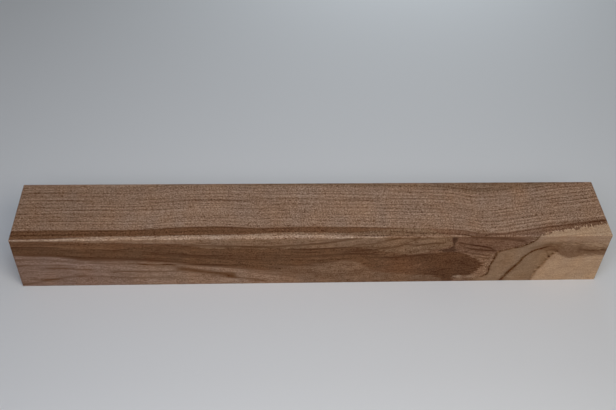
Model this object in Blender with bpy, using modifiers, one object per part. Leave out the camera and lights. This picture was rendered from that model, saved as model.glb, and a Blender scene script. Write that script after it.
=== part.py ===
"""Caucasian walnut turning blank: one sawn bar of solid wood, lying on its bottom face.

Metres, +Z up. X runs along the grain, -Y is the broad flat-sawn side and +Z the quarter-sawn
side that faces up. The origin is the middle of the bottom face.
"""

import bpy

# Driving dimensions of the bar, as sawn
LENGTH = 0.460
WIDTH = 0.060
HEIGHT = 0.0535

# The saw leaves crisp edges, which handling wears to a small round
ARRIS_RADIUS = 0.0005
ARRIS_STEPS = 3

HEARTWOOD_COLOUR = (0.20, 0.125, 0.081, 1.0)
HEARTWOOD_ROUGHNESS = 0.72


def clear_scene():
    """Removes the objects that Blender starts with."""
    for old in list(bpy.data.objects):
        bpy.data.objects.remove(old)


def sawn_walnut():
    """Bare, unfinished walnut: greyish brown and dull, as the saw leaves it."""
    material = bpy.data.materials.new("sawn_walnut")
    material.use_nodes = True
    shader = material.node_tree.nodes["Principled BSDF"]
    shader.inputs["Base Color"].default_value = HEARTWOOD_COLOUR
    shader.inputs["Roughness"].default_value = HEARTWOOD_ROUGHNESS
    shader.inputs["Metallic"].default_value = 0.0
    return material


def sawn_bar(collection):
    """The whole blank: a rectangular bar with its twelve edges worn round."""
    bpy.ops.mesh.primitive_cube_add(size=1.0, location=(0.0, 0.0, HEIGHT / 2))
    bar = bpy.context.object
    bar.name = "blank"
    bar.data.name = "blank"
    bar.scale = (LENGTH, WIDTH, HEIGHT)
    bpy.ops.object.transform_apply(location=False, rotation=False, scale=True)

    arris = bar.modifiers.new("worn_arris", "BEVEL")
    arris.width = ARRIS_RADIUS
    arris.segments = ARRIS_STEPS
    arris.limit_method = "ANGLE"

    bar.data.materials.append(sawn_walnut())
    for holder in list(bar.users_collection):
        holder.objects.unlink(bar)
    collection.objects.link(bar)
    return bar


def main():
    clear_scene()
    collection = bpy.data.collections.new("walnut_turning_blank")
    bpy.context.scene.collection.children.link(collection)
    sawn_bar(collection)


main()
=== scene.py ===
"""Caucasian walnut turning blank: how the sawn bar looks.

One bar of unfinished walnut lies on its bottom face. The front and the top meet in the ridge that
faces the camera. A thin skin of pale sapwood runs along that ridge, and comes back as a whole pale
corner at the right end; the rest is brown heartwood. Metres, +Z up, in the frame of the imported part.
"""

import bpy
import numpy as np
from mathutils import Matrix, Vector

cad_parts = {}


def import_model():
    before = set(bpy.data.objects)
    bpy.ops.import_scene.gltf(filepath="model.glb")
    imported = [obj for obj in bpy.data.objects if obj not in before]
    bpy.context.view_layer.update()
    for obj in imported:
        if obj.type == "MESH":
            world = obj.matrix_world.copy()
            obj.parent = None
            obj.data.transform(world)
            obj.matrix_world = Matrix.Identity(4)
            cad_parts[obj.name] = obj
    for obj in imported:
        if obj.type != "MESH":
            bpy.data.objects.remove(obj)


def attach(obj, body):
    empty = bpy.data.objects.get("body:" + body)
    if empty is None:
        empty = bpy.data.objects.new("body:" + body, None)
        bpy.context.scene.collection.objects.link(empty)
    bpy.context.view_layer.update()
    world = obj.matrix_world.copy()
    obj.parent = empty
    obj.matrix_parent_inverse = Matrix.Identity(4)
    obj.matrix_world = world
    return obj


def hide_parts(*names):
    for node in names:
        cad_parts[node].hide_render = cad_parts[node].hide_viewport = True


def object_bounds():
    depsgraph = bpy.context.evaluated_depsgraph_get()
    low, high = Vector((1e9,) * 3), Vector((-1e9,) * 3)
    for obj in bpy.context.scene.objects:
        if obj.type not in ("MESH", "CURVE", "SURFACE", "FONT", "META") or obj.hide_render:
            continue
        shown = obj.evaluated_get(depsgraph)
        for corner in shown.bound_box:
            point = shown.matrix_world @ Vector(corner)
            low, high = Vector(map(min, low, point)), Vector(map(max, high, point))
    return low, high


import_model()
cad_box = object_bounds()

# The view of the photograph.
# A camera a little left of the middle looks down on the bar at about 45 degrees, turned a few
# degrees to the right and tilted a few degrees about its own axis.
PICTURE_WIDTH_PX = 616
FOCAL_LENGTH_PX = 832.1
SENSOR_WIDTH_MM = 36.0
CAMERA_PLACE = (-0.0420, -0.4532, 0.5206)
LOOKING_DOWN = np.radians(45.44)
TURNED_RIGHT = np.radians(4.60)
TILTED = np.radians(2.90)


def camera_axes(down, turn, tilt):
    """The camera's right, up and back directions. It looks level along +Y, is turned to the right
    and then down, and its right and up directions are last turned about the line of sight."""
    ahead = np.array([np.sin(turn) * np.cos(down), np.cos(turn) * np.cos(down), -np.sin(down)])
    level_right = np.array([np.cos(turn), -np.sin(turn), 0.0])
    level_up = np.cross(level_right, ahead)
    right = np.cos(tilt) * level_right + np.sin(tilt) * level_up
    up = np.cos(tilt) * level_up - np.sin(tilt) * level_right
    return right, up, -ahead


camera_data = bpy.data.cameras.new("photo_camera")
camera_data.sensor_width = SENSOR_WIDTH_MM
camera_data.lens = FOCAL_LENGTH_PX / PICTURE_WIDTH_PX * SENSOR_WIDTH_MM
camera = bpy.data.objects.new("photo_camera", camera_data)
bpy.context.scene.collection.objects.link(camera)
turned = Matrix(np.array(camera_axes(LOOKING_DOWN, TURNED_RIGHT, TILTED)).T.tolist())
camera.matrix_world = Matrix.Translation(Vector(CAMERA_PLACE)) @ turned.to_4x4()
bpy.context.scene.camera = camera
bpy.context.scene.view_settings.view_transform = "Standard"

# The bar's surface.
# The real blank is sawn and planed on four sides and cross-cut at both ends, then left to dry.
# One closed grid makes it, in millimetres: from the middle of the left end out to its edge, along
# the bar, and in to the middle of the right end, each step a loop round the bar.
MM = 0.001
low_corner, high_corner = (np.array(corner) for corner in cad_box)
HALF = (high_corner - low_corner) / 2 / MM
CENTRE = (high_corner + low_corner) / 2 / MM
LENGTH, WIDTH, HEIGHT = 2 * HALF
ARRIS_RADIUS = 0.5
ARRIS_WEAR = 0.12
WEAR_LENGTHS = (61, 23, 9.7)
STEPS_ON_ARRIS = 3
STEP_ALONG = 2.4
FINE_PART = (325, 430)
STEP_ALONG_FINE_PART = 0.7
STEP_DOWN_FRONT = 0.5
STEP_ACROSS_TOP = 0.8
STEP_ON_HIDDEN_SIDES = 1.6
END_RINGS = 24


def places_across(half, step):
    """Places from one edge of a side to the other: even steps, with the arris at either edge
    divided on its own."""
    arris = np.linspace(-half, -half + ARRIS_RADIUS, STEPS_ON_ARRIS + 1)
    flat = np.linspace(-half + ARRIS_RADIUS, half - ARRIS_RADIUS, int(2 * half / step) + 1)
    return np.concatenate([arris, flat[1:-1], -arris[::-1]])


def places_along():
    """Places along the bar: even steps, but closer ones in the part where the flame's fingers and
    the dark seams stand steeply on the front."""
    ends = places_across(HALF[0], STEP_ALONG)
    start, end = (place - HALF[0] for place in FINE_PART)
    fine = np.linspace(start, end, int((end - start) / STEP_ALONG_FINE_PART) + 1)
    return np.concatenate([ends[ends < start], fine, ends[ends > end]])


def loop_round(half_y, half_z):
    """The y and z of one loop round a rectangle, seen from +X anticlockwise: along the bottom, up
    the back, along the top and down the front, each corner once."""
    bottom = places_across(half_y, STEP_ON_HIDDEN_SIDES)[:-1]
    back = places_across(half_z, STEP_ON_HIDDEN_SIDES)[:-1]
    top = -places_across(half_y, STEP_ACROSS_TOP)[:-1]
    front = -places_across(half_z, STEP_DOWN_FRONT)[:-1]
    y = np.concatenate([bottom, np.full_like(back, half_y), top, np.full_like(front, -half_y)])
    z = np.concatenate([np.full_like(bottom, -half_z), back, np.full_like(top, half_z), front])
    return y, z


def sharp_bar():
    """Grid of points on a sharp-edged box, one row for each loop. Each end is the loop shrunk by
    even steps to the middle of the end face; between the ends the loop keeps its size."""
    grow = np.linspace(0, 1, END_RINGS + 1)[1:-1]
    along = places_along()
    x = np.concatenate([np.full_like(grow, -HALF[0]), along, np.full_like(grow, HALF[0])])
    size = np.concatenate([grow, np.ones_like(along), grow[::-1]])
    y, z = loop_round(HALF[1], HALF[2])
    grid = np.empty((len(x), len(y), 3))
    grid[..., 0] = x[:, None]
    grid[..., 1] = size[:, None] * y
    grid[..., 2] = size[:, None] * z
    return grid


def rounded(points, radius):
    """Rounds the box's edges: each point goes to the nearest point of a box that is smaller by the
    arris radius there, and then out again by that radius. Gives the points and their outward
    normals."""
    core = np.clip(points, radius - HALF, HALF - radius)
    out = points - core
    out /= np.linalg.norm(out, axis=-1, keepdims=True)
    return core + out * radius, out


def grid_faces(rows, columns):
    """Four-sided faces between each loop and the next, and three-sided ones from the first and the
    last loop to the middle of either end. The two middles are the last two points."""
    here = np.arange(rows * columns).reshape(rows, columns)
    beside = np.roll(here, -1, axis=1)
    quads = np.stack([here[:-1], here[1:], beside[1:], beside[:-1]], -1).reshape(-1, 4)
    left_middle, right_middle = rows * columns, rows * columns + 1
    left = np.stack([np.full(columns, left_middle), here[0], beside[0]], -1)
    right = np.stack([np.full(columns, right_middle), beside[-1], here[-1]], -1)
    return quads.tolist() + left.tolist() + right.tolist()


def uneven(at, lengths):
    """A slow waver between minus one and one: the mean of sine waves of unlike lengths, each
    started at its own place."""
    return np.mean([np.sin(2 * np.pi * at / length + length) for length in lengths], axis=0)


grid = sharp_bar()
end_middles = np.array([[-HALF[0], 0.0, 0.0], [HALF[0], 0.0, 0.0]])
sharp_points = np.concatenate([grid.reshape(-1, 3), end_middles])
wear = ARRIS_WEAR * uneven(sharp_points.sum(axis=1, keepdims=True), WEAR_LENGTHS)
points, normals = rounded(sharp_points, ARRIS_RADIUS + wear)

# Places in millimetres as a sawyer would measure them: along from the left end, back from the
# front face and down from the top.
along = points[:, 0] + HALF[0]
back = points[:, 1] + HALF[1]
down = HALF[2] - points[:, 2]


# How the tree grew through the bar.
# The rings are sheets that stand nearly upright along the bar, bark side to the front. On the top
# they are cut square, as close straight lines; the front cuts them at a slant, as long flames.
RING_SPACING = 3.7


def through(stations, at):
    """Height of a smooth curve through a few (place, height) stations: between two of them a cubic
    whose slope at each is the mean slope of its neighbours. Level beyond the first and the last."""
    place, height = np.array(stations, float).T
    slope = np.gradient(height, place)
    at = np.clip(at, place[0], place[-1])
    k = np.clip(np.searchsorted(place, at) - 1, 0, len(place) - 2)
    span = place[k + 1] - place[k]
    s = (at - place[k]) / span
    rise = height[k] + (height[k + 1] - height[k]) * s * s * (3 - 2 * s)
    return rise + span * s * (1 - s) * (slope[k] * (1 - s) - slope[k + 1] * s)


def eased_step(at, start, end):
    """Nought before start and one after end. Between them, with s the share of the way, it is
    three times s squared less twice s cubed. Where end lies before start, it falls instead."""
    s = np.clip((at - start) / (end - start), 0, 1)
    return s * s * (3 - 2 * s)


def bell(distance, half_width):
    """One at no distance, and e to the minus square of the distance counted in half widths."""
    return np.exp(-(distance / half_width) ** 2)


def past(at, place, soft=1.0):
    """How far a point lies past a place, counted in the millimetres over which the edge softens."""
    return (at - place) / soft


def before(at, place, soft=1.0):
    """How far a point lies before a place, counted in the millimetres over which the edge softens."""
    return (place - at) / soft


def inside(*bounds, fade_back=0.0):
    """How far a point lies inside all the bounds: the least of them, less a share of its distance
    back for what is drawn on the front. It is above nought inside and below nought outside."""
    return np.minimum.reduce(bounds) - fade_back * back


def spot(along_at, down_at, half_length, half_height, core=1.0):
    """An oval on the front: core at its middle, and one less for each half length or half height
    away from it."""
    return core - np.hypot((along - along_at) / half_length, (down - down_at) / half_height)


# The level of a point counts millimetres outward from the ring where the plain brown heartwood
# ends and its dark rim begins. That ring lies the rim's reach back from the ridge on the top, and
# comes forward down the front by a share of its reach, the rim's slope, for each millimetre. Below
# the place where it comes out on the front, the rings stand farther apart, after a soft bend.
RIM_REACH = [(0, 10.4), (22, 10.9), (50, 11.1), (90, 10.9), (105, 11.4), (118, 12.6), (135, 13.6),
             (160, 13.8), (185, 12.2), (205, 12.6), (225, 13), (260, 12.2), (300, 10.8), (330, 9.3),
             (345, 7.7), (358, 4.3), (372, 4.5), (386, 6.9), (410, 11.2), (437, 15.1), (460, 18.6)]
RIM_SLOPE = [(0, 0.0565), (18, 0.052), (30, 0.0505), (40, 0.0462), (50, 0.0418), (60, 0.0406),
             (90, 0.0394), (110, 0.037), (125, 0.0342), (140, 0.0316), (160, 0.0294), (180, 0.0265),
             (200, 0.0244), (220, 0.0225), (260, 0.0161), (300, 0.008), (340, 0), (356, -0.02),
             (402, -0.0145), (460, -0.0132)]
SOFTENING = 0.15
SLOWER_BELOW = 0.35
slant = through(RIM_SLOPE, along) * down - 1
bent = SLOWER_BELOW * SOFTENING * np.log1p(np.exp(slant / SOFTENING))
level = through(RIM_REACH, along) * (bent - slant) - back

# The areas of the figure are fields, each above nought inside its area. Their stations go from
# along to back for a reach, from along to down for a depth, a top, a bottom or a foot, and from
# down to along for an end, a tip, an edge or a seam.
areas = {"level": level}

# The rim is deepest brown on the front and paler towards the right end. The wood is browner along
# the back edge, and on the front greyer towards the left end.
areas["deep_rim"] = inside(past(level, 0.8), past(down, 6, soft=3))
areas["pale_rim"] = inside(past(level, 0.2, soft=1.4), past(along, 270, soft=80))
areas["back_strip"] = inside(before(level, -42), past(along, 60, soft=60))
areas["grey_corner"] = inside(before(along, 120, soft=80), past(down, 12, soft=8), fade_back=0.2)

# The thin sapwood skin on the ridge: how far it reaches back on the top, where it thins out
# softly, and down the front, where it ends at a crisp line. Farther right only specks of it are
# left.
SKIN_REACH = [(0, 1.6), (30, 2), (50, 3.3), (70, 3.9), (92, 4), (140, 4.7), (165, 4.8), (215, 4.7),
              (240, 4.2), (262, 3.2)]
SKIN_DEPTH = [(0, 1.8), (30, 1.9), (46, 2.3), (56, 3.4), (80, 4.3), (115, 5.6), (135, 5.4),
              (150, 4), (170, 2.8), (200, 1.8), (225, 2.2), (245, 1.8), (262, 1)]
areas["skin"] = inside(before(back, through(SKIN_REACH, along), soft=1.8),
                       before(down, through(SKIN_DEPTH, along), soft=0.8),
                       before(along, 266, soft=12))
# On the top and over the arris the skin is painted paler than on the front: a painted highlight along
# the ridge.
areas["skin_top_painted_highlight"] = inside(areas["skin"], before(down, 0.6, soft=0.5))
specks_reach = 2.4 - 1.1 * eased_step(along, 345, 358)
areas["skin_specks"] = inside(past(along, 250, soft=6), before(along, 409, soft=4),
                              before(back, specks_reach, soft=1.4) - 3 * down)

# The pale patch on the front, which the thin skin widens into, down to its lower edge.
PATCH_DEPTH = [(118, 4), (130, 7), (145, 10.5), (165, 10.8), (190, 11.8), (210, 12.2), (238, 11.4),
               (260, 11), (275, 14), (288, 17.2), (298, 19.6), (313, 18.8), (323, 15), (331, 12),
               (336, 10)]
PATCH_END = [(0, 334), (5, 334.8), (9, 336), (12, 335), (15, 330.5)]
areas["patch"] = inside(before(down, through(PATCH_DEPTH, along)),
                        before(along, through(PATCH_END, down)),
                        past(along, 122, soft=6), fade_back=2)
areas["patch_top"] = inside(areas["patch"], before(down, 7.5, soft=2), before(along, 280, soft=10))

# The patch ends at a dark upright mark, which widens at its foot like the trace of a small knot.
MARK_END = [(-4, 340), (5, 339.5), (9, 338.5), (13, 339)]
upright = inside(past(along, through(PATCH_END, down), soft=0.7),
                 before(along, through(MARK_END, down), soft=2.4),
                 before(down, 14))
mark_foot = spot(333.6, 15.4, 6, 1.7, core=1.6)
areas["mark"] = np.maximum(upright, mark_foot) - 1.2 * back

# The seams on the front near the right end. A tan band lies between the inner and the outer seam,
# an olive band between the outer seam and the olive edge, and pale sapwood after it.
INNER_SEAM = [(0, 402.2), (3, 401.2), (6, 399), (9, 395.6), (12, 389.8), (14.5, 382.5), (17, 375.8),
              (19, 373), (22, 372.3), (25, 372), (30, 370.8), (35, 369.6), (43, 369.6), (45, 369),
              (47, 367), (49, 363.5), (50.5, 360), (51.5, 356)]
OUTER_SEAM = [(9, 423), (13.8, 408), (16, 403), (19, 399.3), (22, 396.8), (25, 394.7), (30, 393.2),
              (35, 390.3), (40, 387.4), (45, 385), (49, 383.3), (53.5, 381)]
OLIVE_EDGE = [(10, 430), (17, 420), (20, 418), (24, 415.6), (29, 413.6), (34, 412), (40, 409),
              (47, 407.4), (53.5, 406)]
LEAN_OF_SEAMS = 3.0


def right_of(seam):
    """Distance to the right of a seam, measured square to it: the distance along, divided by the
    square root of one and the slope squared. A seam leans to the right as it goes back."""
    slope = through(seam, down + 0.5) - through(seam, down - 0.5)
    return (leaned - through(seam, down)) / np.sqrt(1 + slope ** 2)


leaned = along - LEAN_OF_SEAMS * back
areas["tan_band"] = inside(right_of(INNER_SEAM), -right_of(OUTER_SEAM), past(down, 6, soft=2))
areas["olive_band"] = inside(right_of(OUTER_SEAM), -right_of(OLIVE_EDGE), past(down, 10, soft=2))

# The olive band darkens at its head, and in a lobe to the right of its edge.
olive_head = inside(spot(412, 13, 2, 1.43, core=3.5), past(down, 1))
areas["olive_head"] = np.maximum(olive_head, spot(419, 25, 5, 5, core=0.5))

# The sapwood corner starts where the inner seam meets the ridge and reaches farthest back at the
# end of the bar, along a bowed line. On the front it is browner just under the ridge.
SAPWOOD_REACH = 12.9
SAPWOOD_BOW = 0.7
share = (along - through(INNER_SEAM, down)) / (LENGTH - INNER_SEAM[0][1])
areas["sapwood"] = SAPWOOD_REACH * np.sign(share) * np.abs(share) ** SAPWOOD_BOW - back
areas["shaded_sapwood"] = inside(areas["sapwood"], before(down, 9, soft=3), past(down, 0.4, soft=0.8))

# The deep brown flame on the front, whose tip frays into fingers, with its darker core.
FLAME_TOP = [(260, 26), (298, 22), (313, 19.8), (323, 19.2), (331, 18), (338, 17), (343, 18),
             (350, 21), (357, 25)]
FLAME_BOTTOM = [(280, 41), (300, 43), (316, 45), (330, 49), (338, 55), (345, 62)]
FLAME_TIP = [(12, 339), (16, 342), (20, 347), (23, 352), (26, 356), (29, 359.5), (31.5, 363),
             (35, 363), (38, 361.5), (41, 359), (44, 357), (46, 352), (47.5, 345), (50, 343),
             (53.5, 342.5)]
FINGERS = 2.2
flame_end = through(FLAME_TIP, down) + FINGERS * uneven(down, (2.9, 4.7))
areas["dark_flame"] = inside(past(down, through(FLAME_TOP, along)),
                             before(down, through(FLAME_BOTTOM, along), soft=2),
                             before(along, flame_end, soft=1.6),
                             past(along, 280, soft=14), fade_back=2)
areas["flame_core"] = inside(areas["dark_flame"], past(along, 316 - 14 * bell(down - 25, 5), soft=9))

# The wood round the flame: brown beyond the mark, paler round the flame's tip with two pale spots
# under it, and brown below the flame.
areas["beyond"] = inside(past(along, 336, soft=1.5), before(down, 25, soft=3), fade_back=2)
areas["round_tip"] = inside(past(along, 340, soft=2), past(down, 20, soft=2), fade_back=2)
areas["pale_spots"] = np.maximum(spot(345.5, 47.6, 4.6, 2.3), spot(358, 47.8, 5, 1.9)) - back
GROUND_TOP = [(190, 33), (207, 33), (236, 29), (262, 28), (275, 37), (300, 42), (340, 46)]
areas["ground"] = inside(past(down, through(GROUND_TOP, along)), past(along - 0.7 * down, 172, soft=6),
                         before(along, 345, soft=5), fade_back=2)

# The grey-brown streak across the pale corner. Its upper edge is soft and its foot is crisper.
STREAK_TOP = [(412, 9), (420, 8), (428, 6.6), (434, 6.8), (441, 7), (448, 9.4), (460, 10)]
STREAK_FOOT = [(412, 17), (420, 20), (426, 24.8), (432, 26.8), (437, 26), (441, 24.6), (460, 24)]
areas["streak"] = inside(past(down, through(STREAK_TOP, along), soft=4.5),
                         before(down, through(STREAK_FOOT, along), soft=1.6),
                         past(along, 410, soft=5), fade_back=0.1)

# Lines of the figure on the front face, and one strip of painted shade under the ridge. Each has a
# half width, a darkness (less than nought for a pale line), how deep it goes into the bar, and its
# stations. Flat lines go from along to down.
FLAT_LINES = [
    (0.8, 0.24, 3, [(-5, 4.2), (15, 4.3), (30, 4.8), (44, 5.2)]),
    (0.8, -0.20, 3, [(-5, 6.4), (20, 6.6), (35, 7.2), (50, 8.4), (66, 9.7), (88, 9.8)]),
    (0.7, 0.42, 3, [(-5, 7.6), (15, 7.8), (28, 8.1), (40, 9)]),
    (0.7, 0.26, 3, [(52, 10), (62, 10.8), (75, 12.2), (80, 11), (92, 11.2)]),
    (0.8, 0.20, 2, [(70, 4), (84, 4.2), (98, 4.6), (120, 5), (132, 5.4)]),
    (4.0, -0.09, 3, [(58, 6), (74, 7.5), (88, 9.5), (100, 11)]),
    (1.2, -0.12, 3, [(40, 4), (54, 4.6), (72, 4.2)]),
    (1.0, -0.12, 3, [(46, 12.6), (60, 13), (80, 13.4), (94, 13.6)]),
    (1.5, 0.16, 6, [(4, 14.6), (20, 14.2), (30, 15), (40, 17.4), (50, 19.6), (62, 20.3), (75, 21.2),
                    (92, 22.2), (110, 23), (130, 23.6)]),
    (1.2, 0.36, 4, [(-5, 22), (14, 21.8), (24, 22.2), (32, 23.4), (46, 25.4), (56, 26.2)]),
    (1.0, 0.34, 4, [(52, 25.6), (60, 26.2), (72, 27.2), (85, 27.6), (100, 28.5)]),
    (1.1, 0.50, 4, [(92, 28.5), (106, 29.4), (116, 29), (124, 30.5)]),
    (0.8, 0.32, 4, [(-5, 29), (14, 28.4), (28, 28.6), (45, 29.8)]),
    (0.8, 0.34, 4, [(18, 32.5), (34, 32.3), (46, 33.6), (62, 34.8)]),
    (0.8, 0.38, 4, [(66, 37.2), (84, 36.8), (102, 37.1), (126, 37)]),
    (1.3, 0.32, 4, [(-5, 51), (8, 50), (20, 46.6), (30, 44.2), (38, 42.7), (45, 42), (56, 41.8)]),
    (0.8, 0.24, 4, [(50, 42), (66, 43), (80, 44.4), (92, 45), (106, 44.6), (124, 45.2)]),
    (1.0, 0.10, 4, [(106, 45.8), (124, 46.6), (140, 48.6), (160, 50)]),
    (0.8, 0.24, 3, [(104, 8.8), (122, 9.2), (136, 10.2)]),
    (0.7, 0.28, 2, [(130, 6.4), (140, 5), (152, 4)]),
    (1.1, 0.48, 3, [(126, 7.5), (145, 7.6), (160, 8.2), (172, 8.6), (186, 9.7), (200, 9.6),
                    (212, 8.2), (226, 7.2), (238, 5.4), (250, 3), (266, 0)]),
    (0.6, -0.16, 3, [(138, 11), (150, 11.3), (164, 10.2)]),
    (0.8, 0.22, 3, [(106, 17.4), (128, 18.2), (150, 18.8), (170, 19), (195, 19.4), (215, 19.8),
                    (232, 20)]),
    (1.1, 0.38, 3, [(208, 22), (222, 21.9), (236, 20.4), (254, 18.6), (268, 19), (284, 20.3)]),
    (0.7, 0.20, 3, [(150, 23.8), (172, 24.2), (192, 25)]),
    (0.7, 0.30, 4, [(108, 29), (122, 29.3), (135, 29.6), (148, 29.8), (160, 30.4), (175, 30.8),
                    (188, 32.4), (204, 32.2), (220, 30.8), (236, 28.8), (248, 27.2), (264, 25.8)]),
    (2.8, 0.58, 6, [(119, 33.8), (128, 35), (137, 36.8), (148, 39.3), (158, 41.1), (171, 43.2)]),
    (1.4, -0.20, 4, [(84, 47), (104, 47), (124, 47.6), (140, 49.8)]),
    (1.4, 0.30, 4, [(102, 31.5), (114, 32.2), (125, 32.6)]),
    (1.5, -0.10, 4, [(112, 26.4), (128, 26.8), (146, 27.6)]),
    (4.0, -0.16, 4, [(142, 25), (158, 27.5), (170, 29.5), (182, 33), (196, 37)]),
    (1.7, 0.34, 6, [(157, 43.6), (168, 45.4), (180, 47.8), (194, 51)]),
    (1.7, -0.12, 6, [(104, 26.8), (120, 27.6), (130, 31), (144, 33.5), (158, 35.4), (173, 38),
                     (192, 42)]),
    (2.2, 0.15, 4, [(172, 38), (190, 39.8), (206, 41.6), (222, 43), (238, 43.4)]),
    (0.9, 0.26, 4, [(196, 33.6), (212, 33.6), (226, 32.8), (240, 31.6)]),
    (0.7, 0.26, 4, [(176, 38.4), (192, 41.6), (205, 43.4), (222, 47)]),
    (0.7, 0.20, 3, [(158, 39.3), (170, 39.8), (184, 42)]),
    (0.7, 0.36, 3, [(205, 12.6), (222, 13.4), (236, 12.6), (250, 11.5), (262, 10.5), (276, 11.4),
                    (290, 12)]),
    (0.7, 0.28, 3, [(206, 15), (222, 16.8), (236, 16.2)]),
    (0.8, 0.42, 2, [(256, 8.8), (268, 7.8), (277, 6.6), (283, 4.6), (289, 2), (299, -1)]),
    (0.9, 0.38, 3, [(247, 16.6), (260, 15.8), (270, 14.8), (280, 13.6), (291, 12.2)]),
    (0.9, 0.54, 2, [(286, 11.6), (294, 10.4), (299, 7.3), (305, 3.6), (311, -2)]),
    (0.9, 0.50, 2, [(297, 7.8), (305, 9), (314, 8.5), (322, 7.2), (331, 7.6)]),
    (0.7, 0.32, 2, [(312, 14.2), (328, 14.8)]),
    (1.1, -0.17, 2, [(298, 5.4), (312, 5), (324, 4.4), (335, 4.6)]),
    # Painted shade: a dark strip just under the ridge along the top of the patch.
    (1.6, 0.24, 2, [(280, 1.2), (296, 1), (320, 0.6), (338, 0.6)]),
    (1.0, -0.12, 2, [(296, 12.6), (308, 12.2), (322, 11.8)]),
    (0.9, 0.42, 3, [(266, 22.8), (282, 23.2), (294, 23.4), (305, 22), (316, 20.6), (326, 18.8)]),
    (0.7, 0.20, 4, [(260, 39), (280, 38.6), (295, 39), (310, 39), (328, 38.8)]),
    (0.7, 0.22, 4, [(232, 41.8), (250, 42.6), (262, 42.6), (270, 41)]),
    (2.4, -0.10, 4, [(234, 32.6), (250, 33), (260, 35), (270, 37)]),
    (0.8, 0.64, 3, [(337, 5.6), (345, 8), (352, 9.6), (362, 12), (373, 16.8)]),
    (0.8, 0.54, 3, [(344, 12.2), (354, 14.8), (364, 16.2), (375, 17.4)]),
    (0.8, 0.48, 3, [(348, 18.6), (357, 20.6), (364, 22), (372, 23)]),
    (0.7, 0.38, 3, [(352, 22.8), (362, 25), (371, 26.6)]),
    (0.8, -0.20, 3, [(346, 19.4), (358, 22.4), (371, 24.6)]),
    (0.8, -0.18, 3, [(356, 25.4), (364, 27.6), (371, 28.8)]),
    (1.8, 0.50, 4, [(335, -1.2), (350, 0), (366, 1.6), (380, 3.2), (388, 4.6), (395, 5.4)]),
    (0.8, 0.34, 3, [(348, 50.6), (362, 52)]),
    (4.0, -0.11, 4, [(358, 44.5), (376, 47), (396, 51)]),
    (1.8, 0.12, 4, [(264, 50.8), (290, 50.4), (312, 50.6), (336, 51.4)]),
    (1.4, 0.26, 8, [(394, 16), (402, 12.8), (409, 10.4), (417, 9.2), (424, 8), (432, 6)]),
    (0.9, 0.30, 4, [(403, 17), (409, 13.4), (415, 11.5), (420, 11.9), (424, 14), (428, 17.4)]),
    (0.8, 0.26, 4, [(409, 19), (414, 16.4), (419, 17), (424, 20.4)]),
    (1.0, 0.26, 4, [(430, 7.6), (436, 9.4), (443, 12)]),
    (5.0, -0.09, 6, [(432, 55.5), (450, 54), (470, 53)]),
    (1.2, 0.50, 10, [(436, 16), (442, 16.8), (447, 17.7), (452, 17.4), (458, 16.6), (468, 15.8)]),
]
# Steep lines go from down to along.
STEEP_LINES = [
    (1.4, 0.42, 8, [(13, 411)] + OLIVE_EDGE[1:-1] + [(58, 405)]),
    (0.8, 0.34, 4, [(15, 410.5), (20, 413), (27, 416.5)]),
    (0.7, 0.12, 8, [(20, 435.6), (32, 437), (42, 436.4), (58, 433.5)]),
    (0.9, 0.26, 5, [(9, 434.6), (15, 438), (23, 436.4)]),
    (2.0, 0.14, 8, [(14, 410), (19, 406.5), (24, 404.5), (31, 402)]),
    (0.6, 0.10, 4, [(16, 379.5), (30, 381), (44, 380)]),
]
# Lines on the top face go from along to back, with a half width and a darkness.
TOP_LINES = [
    (0.8, 0.20, [(-5, 42.3), (15, 42.2), (38, 41.8), (60, 41.6)]),
    (0.6, 0.18, [(-5, 33.6), (20, 33.8), (38, 33.4)]),
    (0.6, 0.16, [(50, 39.3), (80, 39.6), (122, 39.2)]),
    (0.6, 0.16, [(46, 24.3), (75, 24.4), (114, 24)]),
    (0.6, 0.14, [(28, 45.3), (52, 45.2), (66, 44)]),
    (0.7, 0.26, [(84, 42.8), (120, 42), (150, 41.8), (180, 41.8), (198, 43), (212, 42.5),
                 (235, 41.2), (262, 41), (286, 39.5)]),
    (0.7, 0.15, [(172, 46.8), (188, 44.5), (200, 43)]),
    (0.6, 0.10, [(148, 31), (175, 31.2), (215, 31), (245, 30.5), (275, 30), (300, 30.3), (318, 31),
                 (340, 29.6)]),
    (0.6, 0.12, [(200, 35.5), (216, 35.8), (232, 35.4)]),
    (0.8, 0.20, [(276, 53.4), (295, 51), (312, 48.6)]),
    (0.7, 0.24, [(308, 48.5), (318, 46.8), (328, 45.2), (342, 44.5), (352, 43.6), (372, 43.7),
                 (384, 43.5), (400, 44.5)]),
    (1.4, 0.18, [(350, 58.6), (400, 58.6), (470, 58.6)]),
    (2.0, 0.08, [(424, 56), (440, 55.5), (470, 55)]),
    (1.5, -0.15, [(122, 34.4), (140, 34.2), (160, 34.2)]),
    (1.2, -0.08, [(202, 34), (214, 34), (228, 34)]),
    (0.7, 0.24, [(330, 53.2), (350, 52.4), (375, 52.4), (400, 52.5), (420, 55.8)]),
]
TOP_LINE_DEPTH = 5.0
LINE_FADES_OVER = 6.0


def drawn(at, across, half_width, stations):
    """How strongly a line shows: a bell over the distance square to the curve through its stations,
    which fades at the first and the last of them."""
    slope = through(stations, at + 0.5) - through(stations, at - 0.5)
    distance = (across - through(stations, at)) / np.sqrt(1 + slope ** 2)
    first, last = stations[0][0], stations[-1][0]
    faded = np.minimum(LINE_FADES_OVER, (last - first) / 3)
    ends = eased_step(at, first, first + faded) * (1 - eased_step(at, last - faded, last))
    return ends * bell(distance, half_width)


figure = np.zeros_like(along)
for half_width, darkness, depth, stations in FLAT_LINES:
    figure += darkness * drawn(along, down, half_width, stations) * np.exp(-back / depth)
for half_width, darkness, depth, stations in STEEP_LINES:
    figure += darkness * drawn(down, leaned, half_width, stations) * np.exp(-back / depth)
for half_width, darkness, stations in TOP_LINES:
    figure += darkness * drawn(along, back, half_width, stations) * np.exp(-down / TOP_LINE_DEPTH)

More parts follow.
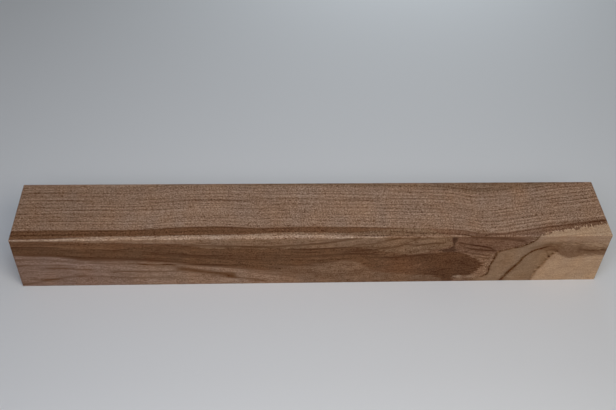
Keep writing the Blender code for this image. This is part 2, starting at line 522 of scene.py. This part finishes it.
# Rings that show as lines of their own: the first two of the rim at the left, and the first one at
# the right. Each has its level, half width and darkness, and where along the bar it starts and is
# full.
RING_LINES = [
    (1.1, 0.9, 0.30, 230, 130),
    (4.8, 1.0, 0.20, 230, 130),
    (1.5, 1.5, 0.38, 390, 425),
]
for line_level, half_width, darkness, start, full in RING_LINES:
    figure += darkness * bell(level - line_level, half_width) * eased_step(along, start, full)

# Beside the right end, where the growth swings out, the rings of the heartwood show as dark, closely
# wavering lines with paler wood between, more so on the top than on the front.
WAVERING_BY = 1.1
WAVERING_LENGTHS = (19, 13, 8.3)
WAVERING_HALF_WIDTH = 0.7
WAVERING_DARKNESS = 0.30
PALER_BETWEEN = 0.11
wavering = level + WAVERING_BY * uneven(along + 0.4 * back, WAVERING_LENGTHS)
from_line = wavering % RING_SPACING - RING_SPACING / 2
wavering_lines = WAVERING_DARKNESS * bell(from_line, WAVERING_HALF_WIDTH) - PALER_BETWEEN
weaker_on_front = 1 - 0.75 * eased_step(down, 0, 6)
figure += wavering_lines * weaker_on_front * eased_step(-level, 0, 3) * eased_step(along, 380, 425)

# The heartwood darkens a little towards the left end, and on the front over a longer stretch.
LEFT_DARKNESS = 0.09
LEFT_DARKNESS_ON_FRONT = 0.055
in_heartwood = eased_step(-level, 0, 4)
figure += LEFT_DARKNESS * in_heartwood * eased_step(along, 110, 20)
figure += LEFT_DARKNESS_ON_FRONT * in_heartwood * eased_step(along, 180, 80) * eased_step(down, 0, 3)

# The seams themselves are unbroken. The inner one is weaker at the ridge and again near the bottom,
# and the outer one thickens towards the bottom.
SEAM_DEPTH = 14.0
INNER_SEAM_DARKNESS = 0.62
INNER_SEAM_HALF_WIDTH = 1.0
OUTER_SEAM_DARKNESS = 0.76
OUTER_SEAM_HALF_WIDTH = [(10, 0.9), (25, 1.1), (50, 1.7)]
inner_stations = [(-4, 403)] + INNER_SEAM + [(58, 340)]
outer_stations = [(10, 417)] + OUTER_SEAM[1:-1] + [(60, 379)]
weaker_inner = (0.5 + 0.5 * eased_step(down, 0, 5)) * (1 - 0.6 * eased_step(down, 47, 51))
inner = INNER_SEAM_DARKNESS * weaker_inner * drawn(down, leaned, INNER_SEAM_HALF_WIDTH, inner_stations)
outer_half_width = through(OUTER_SEAM_HALF_WIDTH, down)
outer = OUTER_SEAM_DARKNESS * drawn(down, leaned, outer_half_width, outer_stations)
seams = (inner + outer) * np.exp(-back / SEAM_DEPTH)

# The direction of the fibre: how far a fibre line has climbed, near the ridge and near the bottom.
# A point's place round its ring is its height, less that climb, and the ring's lean times its
# distance back.
CLIMB_AT_RIDGE = [(0, 0), (100, -2), (200, -6), (240, -5), (290, 2), (334, 10), (400, 6), (460, 3)]
CLIMB_LOW = [(0, 0), (60, 1), (110, -3), (230, -12), (300, -8), (334, -4), (460, -4)]
low = eased_step(down, 0, 50)
climb = (1 - low) * through(CLIMB_AT_RIDGE, along) + low * through(CLIMB_LOW, along)
lean = through(RIM_REACH, along) * through(RIM_SLOPE, along)
round_ring = (HEIGHT - down) - climb + lean * back

# Relief left by drying, planing and the cross-cut saw, always inwards, so the bar keeps its box.
# The four long sides are a little hollow and their rings stand proud of the softer wood between;
# the ends carry the arcs of a saw blade whose centre lay below the bar.
HOLLOW_DEPTH = 0.12
UNEVEN_DEPTH = 0.05
RING_RELIEF = 0.03
SAW_CENTRE_BACK = 75.0
SAW_CENTRE_DOWN = 165.0
SAW_ARC_SPACING = 5.2
SAW_ARC_DEPTH = 0.05
RELIEF_STARTS = 0.4
RELIEF_FULL = 2.5
facing_end, facing_front, facing_up = np.abs(normals).T
middle_y = 1 - ((back - WIDTH / 2) / (WIDTH / 2)) ** 2
middle_z = 1 - ((down - HEIGHT / 2) / (HEIGHT / 2)) ** 2
hollow = HOLLOW_DEPTH * (facing_up * middle_y + facing_front * middle_z)
waver_along = 0.5 + 0.5 * uneven(along, (173, 71, 29))
waver_round = 0.5 + 0.5 * uneven(back + down, (47, 19))
waver = UNEVEN_DEPTH * waver_along * waver_round
rings = RING_RELIEF * (0.5 - 0.5 * np.cos(2 * np.pi * level / RING_SPACING))
saw_reach = np.hypot(back - SAW_CENTRE_BACK, down - SAW_CENTRE_DOWN)
saw_arcs = SAW_ARC_DEPTH * (0.5 + 0.5 * np.sin(2 * np.pi * saw_reach / SAW_ARC_SPACING))
relief = hollow + waver + rings * (1 - facing_end) + saw_arcs * facing_end

# The relief starts a little inside each arris. A point's distance to the nearest arris is the
# middle one of its distances to the ends, the front or back, and the top or bottom.
from_arris = np.sort(HALF - np.abs(points), axis=-1)[:, 1]
relief *= eased_step(from_arris, RELIEF_STARTS, RELIEF_FULL)
points -= normals * relief[:, None]

# What the wood's material reads at each point: the areas and lines of the figure, and two vectors.
# One counts millimetres along the trunk, outward through the rings and round the ring; the other
# says how much of the surface faces up or down, to the front or back, and to an end.
NUMBERS = areas | {"figure": figure, "seams": seams, "saw_reach": saw_reach}
VECTORS = {
    "grown": np.stack([along, level, round_ring], -1),
    "cut": np.stack([facing_up, facing_front, facing_end], -1),
}

mesh = bpy.data.meshes.new("walnut_bar")
mesh.from_pydata(((points + CENTRE) * MM).tolist(), [], grid_faces(*grid.shape[:2]))
mesh.shade_smooth()
for name, values in NUMBERS.items():
    mesh.attributes.new(name, "FLOAT", "POINT").data.foreach_set("value", values)
for name, values in VECTORS.items():
    mesh.attributes.new(name, "FLOAT_VECTOR", "POINT").data.foreach_set("vector", values.ravel())
bar = bpy.data.objects.new("walnut_bar", mesh)
bpy.context.scene.collection.objects.link(bar)


# The wood: walnut, sawn and planed, with no finish on it.
# A dull, dry surface. The eye gets its brown rings, the open pores as short dark dashes, and the
# rays as fine dots and hairs across the grain.
def linear(hex_colour):
    """The linear colour of an sRGB hex value: a channel up to 0.04045 is divided by 12.92; to any
    other 0.055 is added, and the sum is divided by 1.055 and raised to the power 2.4."""
    srgb = np.array([int(hex_colour[i:i + 2], 16) for i in (1, 3, 5)]) / 255
    channels = np.where(srgb <= 0.04045, srgb / 12.92, ((srgb + 0.055) / 1.055) ** 2.4)
    return (*channels.tolist(), 1.0)


def add_node(material, kind, sockets, output=None, **settings):
    """Adds one shader node. A socket takes another node's output, which is linked to it, or a plain
    value. Settings are the node's own properties. Gives the named output, or the first in use."""
    node = material.node_tree.nodes.new("ShaderNode" + kind)
    for name, value in settings.items():
        setattr(node, name, value)
    for name, value in sockets.items():
        if isinstance(value, bpy.types.NodeSocket):
            material.node_tree.links.new(value, node.inputs[name])
        else:
            node.inputs[name].default_value = value
    if output:
        return node.outputs[output]
    return next((each for each in node.outputs if each.enabled), None)


walnut = bpy.data.materials.new("walnut_planed_unfinished")
walnut.use_nodes = True
walnut.node_tree.nodes.clear()

field = {}
for name in NUMBERS:
    field[name] = add_node(walnut, "Attribute", {}, "Fac", attribute_name=name)
for name in VECTORS:
    field[name] = add_node(walnut, "Attribute", {}, "Vector", attribute_name=name)

# How much paler each cut looks, as a share of the wood's colour: the top and bottom, the front and
# back, and the ends. The top and bottom are painted paler as painted light from above; the end grain
# drinks light in and is darker.
PAINTED_TOP_LIGHT_AND_END_TONE = (0.06, 0, -0.18)
texture = add_node(walnut, "VectorMath", {0: field["cut"], 1: PAINTED_TOP_LIGHT_AND_END_TONE}, operation="DOT_PRODUCT")

# Each pattern is noise with its own size in millimetres along the trunk, outward through the rings
# and round the ring, its detail, and how strongly it darkens and lightens each of the three cuts.
# Real pores are 0.2 mm wide and real rays 0.1 mm; both are drawn as wide as the picture can show.
PATTERNS = {
    "patches": ((60, 10, 16), 1.0, (0.14, 0.20, 0.15)),
    "bands": ((80, 0.8, 30), 1.0, (0.98, 0.15, 0.40)),
    "streaks": ((30, 4, 1.5), 1.0, (0.0, 0.60, 0.20)),
    "fibres": ((5, 2.5, 0.7), 1.0, (0.0, 0.95, 0.30)),
    "pores": ((0.8, 0.58, 0.62), 1.0, (3.40, 1.95, 2.30)),
    "rays": ((0.9, 5.0, 0.9), 0.0, (0.35, 0.10, 0.60)),
    "waves": ((16, 30, 30), 1.0, (0.0, 0.0, 0.0)),
}
noise = {}
for name, (size, detail, strengths) in PATTERNS.items():
    place = add_node(walnut, "VectorMath", {0: field["grown"], 1: size}, operation="DIVIDE")
    raw = add_node(walnut, "TexNoise", {"Vector": place, "Scale": 1.0, "Detail": detail})
    noise[name] = add_node(walnut, "Math", {0: raw, 1: 0.5}, operation="SUBTRACT")
    strength = add_node(walnut, "VectorMath", {0: field["cut"], 1: strengths}, operation="DOT_PRODUCT")
    texture = add_node(walnut, "Math", {0: noise[name], 1: strength, 2: texture},
                       operation="MULTIPLY_ADD")

# The dark line that ends each ring. The rings waver by a millimetre or so along the bar, and the
# rim begins a fifth of the way through a year's growth. Each line deepens over the second half of
# that growth, stops short, and comes and goes along the bar.
RING_WAVER = {"waves": 2.0, "patches": 5.0}
YEAR_AT_RIM = 0.19
RING_LINE_BY_CUT = (-0.32, -0.10, -0.22)
waved = field["level"]
for name, reach in RING_WAVER.items():
    waved = add_node(walnut, "Math", {0: noise[name], 1: reach, 2: waved}, operation="MULTIPLY_ADD")
years = add_node(walnut, "Math", {0: waved, 1: 1 / RING_SPACING, 2: YEAR_AT_RIM},
                 operation="MULTIPLY_ADD")
year = add_node(walnut, "Math", {0: years}, operation="FRACT")
ring_line = add_node(walnut, "VectorMath", {0: field["cut"], 1: RING_LINE_BY_CUT},
                     operation="DOT_PRODUCT")
deepens = {"Value": year, "From Min": 0.45, "From Max": 0.85}
stops_short = {"Value": year, "From Min": 1.0, "From Max": 0.9}
comes_and_goes = {"Value": noise["patches"], "From Min": -0.15, "From Max": 0.12, "To Min": 0.35}
for ramp in (deepens, stops_short, comes_and_goes):
    factor = add_node(walnut, "MapRange", ramp, interpolation_type="SMOOTHSTEP")
    ring_line = add_node(walnut, "Math", {0: ring_line, 1: factor}, operation="MULTIPLY")
texture = add_node(walnut, "Math", {0: texture, 1: ring_line}, operation="ADD")

# The pale sapwood is closer and more even than the heartwood: less than half of its texture shows.
SAPWOOD_TEXTURE = 0.45
liveliness = add_node(walnut, "MapRange",
                      {"Value": field["sapwood"], "To Min": 1.0, "To Max": SAPWOOD_TEXTURE})
texture = add_node(walnut, "Math", {0: texture, 1: liveliness}, operation="MULTIPLY")

# Colours laid over the plain heartwood, one after another: the field that bounds each, the noise
# that frays its edge and how far, the field's value where it starts and where it is full, how
# strong it is there, and its colour. A Mix node's sockets 6 and 7 are its two colours.
HEARTWOOD = "#997962"
LAYERS = [
    ("back_strip", "bands", 3.0, 0.0, 3.0, 0.90, "#876951"),
    ("grey_corner", "waves", 0.4, 0.0, 1.0, 0.55, "#94796e"),
    ("level", "pores", 2.0, 0.2, 1.6, 1.0, "#734f35"),
    ("deep_rim", "fibres", 2.0, 0.0, 2.0, 1.0, "#6f4d33"),
    ("pale_rim", "pores", 0.4, 0.0, 1.0, 0.85, "#85624b"),
    ("ground", "streaks", 6.0, -2.0, 3.0, 0.90, "#85654d"),
    ("beyond", "fibres", 3.0, -1.0, 1.5, 0.90, "#7c5a44"),
    ("round_tip", "fibres", 6.0, -1.0, 1.5, 0.90, "#8d6b52"),
    ("dark_flame", "streaks", 6.0, -0.7, 0.8, 1.0, "#744f35"),
    ("flame_core", "streaks", 6.0, -0.7, 1.0, 1.0, "#634027"),
    ("pale_spots", "fibres", 1.2, 0.0, 0.4, 0.80, "#a6886e"),
    ("patch", "fibres", 3.0, -0.5, 1.0, 0.95, "#86674e"),
    ("patch_top", "fibres", 3.0, -0.5, 1.0, 0.95, "#86674f"),
    ("mark", "fibres", 1.6, 0.0, 0.9, 0.95, "#4f321f"),
    ("skin_specks", "pores", 2.5, 0.0, 1.0, 0.75, "#a8876e"),
    ("skin", "pores", 1.6, 0.0, 1.0, 0.95, "#93735b"),
    # The skin on the top and the arris, painted paler as a painted highlight along the ridge.
    ("skin_top_painted_highlight", "pores", 1.2, 0.0, 1.0, 1.0, "#b29279"),
    ("sapwood", "rays", 9.0, -0.4, 0.6, 1.0, "#b9987a"),
    ("shaded_sapwood", "rays", 2.0, -0.4, 0.8, 0.90, "#a28167"),
    ("tan_band", "fibres", 2.0, -0.4, 0.8, 1.0, "#92745a"),
    ("olive_band", "fibres", 9.0, -0.6, 1.0, 1.0, "#937458"),
    ("olive_head", "fibres", 3.0, -1.0, 1.5, 0.45, "#7f5d41"),
    ("streak", "fibres", 5.0, -0.8, 1.5, 0.88, "#7a583e"),
]
colour = linear(HEARTWOOD)
for name, frayed_by, fray, start, full, strength, tint in LAYERS:
    frayed = add_node(walnut, "Math", {0: noise[frayed_by], 1: fray, 2: field[name]},
                      operation="MULTIPLY_ADD")
    ramp = {"Value": frayed, "From Min": start, "From Max": full, "To Max": strength}
    cover = add_node(walnut, "MapRange", ramp, interpolation_type="SMOOTHSTEP")
    colour = add_node(walnut, "Mix", {0: cover, 6: colour, 7: linear(tint)}, data_type="RGBA")

# The lines of the figure come and go with the fibres and the pores; the seams are unbroken.
LINE_STRENGTH = 0.9
LINES_BROKEN_BY = {"fibres": 2.4, "pores": 4.5}
broken = LINE_STRENGTH
for name, swing in LINES_BROKEN_BY.items():
    broken = add_node(walnut, "Math", {0: noise[name], 1: swing, 2: broken}, operation="MULTIPLY_ADD")
line = add_node(walnut, "Math", {0: field["figure"], 1: broken, 2: field["seams"]},
                operation="MULTIPLY_ADD")

# What darkens the wood takes more of its green than of its red, and most of its blue, so dark
# lines look browner.
DARKENING = (1.0, 1.24, 1.48)
WHITE = (1, 1, 1)
paleness = add_node(walnut, "Math", {0: texture, 1: line}, operation="SUBTRACT")
shade = add_node(walnut, "VectorMath", {0: paleness, 1: DARKENING, 2: WHITE}, operation="MULTIPLY_ADD")
colour = add_node(walnut, "VectorMath", {0: colour, 1: shade}, operation="MULTIPLY")

# Heartwood is never one brown: mauve and olive come and go over a few centimetres.
TURN_OF_HUE = (0.16, -0.01, -0.24)
hue = add_node(walnut, "VectorMath", {0: noise["waves"], 1: TURN_OF_HUE, 2: WHITE},
               operation="MULTIPLY_ADD")
colour = add_node(walnut, "VectorMath", {0: colour, 1: hue}, operation="MULTIPLY")

# Cut pores and soft wood stand a little lower, and on the ends the saw teeth left fine arcs.
SAW_LINE_SPACING = 1.3
SAW_LINES_BY_CUT = (0, 0, 0.25)
GRAIN_DEPTH = 0.1 * MM
GRAIN_STRENGTH = 0.2
saw_turns = add_node(walnut, "Math", {0: field["saw_reach"], 1: 2 * np.pi / SAW_LINE_SPACING},
                     operation="MULTIPLY")
saw_lines = add_node(walnut, "Math", {0: saw_turns}, operation="SINE")
on_ends = add_node(walnut, "VectorMath", {0: field["cut"], 1: SAW_LINES_BY_CUT},
                   operation="DOT_PRODUCT")
height = add_node(walnut, "Math", {0: saw_lines, 1: on_ends, 2: texture}, operation="MULTIPLY_ADD")
grain = add_node(walnut, "Bump",
                 {"Height": height, "Strength": GRAIN_STRENGTH, "Distance": GRAIN_DEPTH})

# Bare planed walnut has a faint, broad shine, the faintest in its dark open pores. Its dry fibres
# scatter most of what a smooth surface of the same IOR would reflect, so its level is set low.
PORE_ROUGHNESS = 0.80
PLANED_ROUGHNESS = 0.60
WOOD_IOR = 1.5
SHINE_LEVEL = 0.15
roughness = add_node(walnut, "MapRange",
                     {"Value": texture, "From Min": -0.4, "From Max": 0.4,
                      "To Min": PORE_ROUGHNESS, "To Max": PLANED_ROUGHNESS})
wood = add_node(walnut, "BsdfPrincipled",
                {"Base Color": colour, "Roughness": roughness, "IOR": WOOD_IOR,
                 "Specular IOR Level": SHINE_LEVEL, "Normal": grain})
add_node(walnut, "OutputMaterial", {"Surface": wood})
mesh.materials.append(walnut)

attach(bar, "root")
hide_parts("blank")


# The studio.
# A plain pale paper floor in a grey room, two soft lights high over the front, a weak bluish one
# overhead, and one low behind the bar. The paper is matt, and gives the eye nothing but its shade.
FLOOR_RADIUS = 6.0
FLOOR_CORNERS = 96
PAPER = "#e3e3e4"
PAPER_ROUGHNESS = 0.9
paper = bpy.data.materials.new("matt_paper_pale_grey")
paper.use_nodes = True
paper.node_tree.nodes.clear()
sheet = add_node(paper, "BsdfPrincipled", {"Base Color": linear(PAPER), "Roughness": PAPER_ROUGHNESS})
add_node(paper, "OutputMaterial", {"Surface": sheet})

turns = np.linspace(0, 2 * np.pi, FLOOR_CORNERS, endpoint=False)
floor_points = np.stack([np.cos(turns), np.sin(turns), np.zeros_like(turns)], -1) * FLOOR_RADIUS
floor_mesh = bpy.data.meshes.new("paper_floor")
floor_mesh.from_pydata(floor_points.tolist(), [], [list(range(FLOOR_CORNERS))])
floor_mesh.materials.append(paper)
floor = bpy.data.objects.new("paper_floor", floor_mesh)
bpy.context.scene.collection.objects.link(floor)

# Softboxes: the place along X that each is aimed at, its azimuth from the front towards the right
# end and its elevation in degrees, its distance and size in metres, its watts and its colour.
SOFTBOXES = {
    "front_left_softbox": (0.0, -25, 50, 0.70, 0.35, 1.40, "#f2f6ff"),
    "front_right_softbox": (0.0, 25, 50, 0.70, 0.35, 1.80, "#fffaf1"),
    "overhead_softbox": (0.0, 0, 80, 0.70, 0.35, 0.25, "#b3d4ff"),
    "back_softbox": (0.15, 180, 20, 0.70, 0.35, 1.05, "#ecf8ff"),
}
AIMED_HEIGHT = 0.03
for name, (aimed_along, azimuth, elevation, distance, size, watts, tint) in SOFTBOXES.items():
    turn, rise = np.radians((azimuth, elevation))
    out = Vector((np.sin(turn) * np.cos(rise), -np.cos(turn) * np.cos(rise), np.sin(rise)))
    light_data = bpy.data.lights.new(name, "AREA")
    light_data.size = size
    light_data.energy = watts
    light_data.color = linear(tint)[:3]
    light = bpy.data.objects.new(name, light_data)
    facing = out.to_track_quat("Z", "Y").to_matrix().to_4x4()
    aimed_at = Vector((aimed_along, 0, AIMED_HEIGHT))
    light.matrix_world = Matrix.Translation(aimed_at + out * distance) @ facing
    light.visible_camera = False
    bpy.context.scene.collection.objects.link(light)

ROOM_GREY = "#c4c8cc"
ROOM_STRENGTH = 0.2
room = bpy.data.worlds.new("soft_room")
room.use_nodes = True
room.node_tree.nodes["Background"].inputs["Color"].default_value = linear(ROOM_GREY)
room.node_tree.nodes["Background"].inputs["Strength"].default_value = ROOM_STRENGTH
bpy.context.scene.world = room
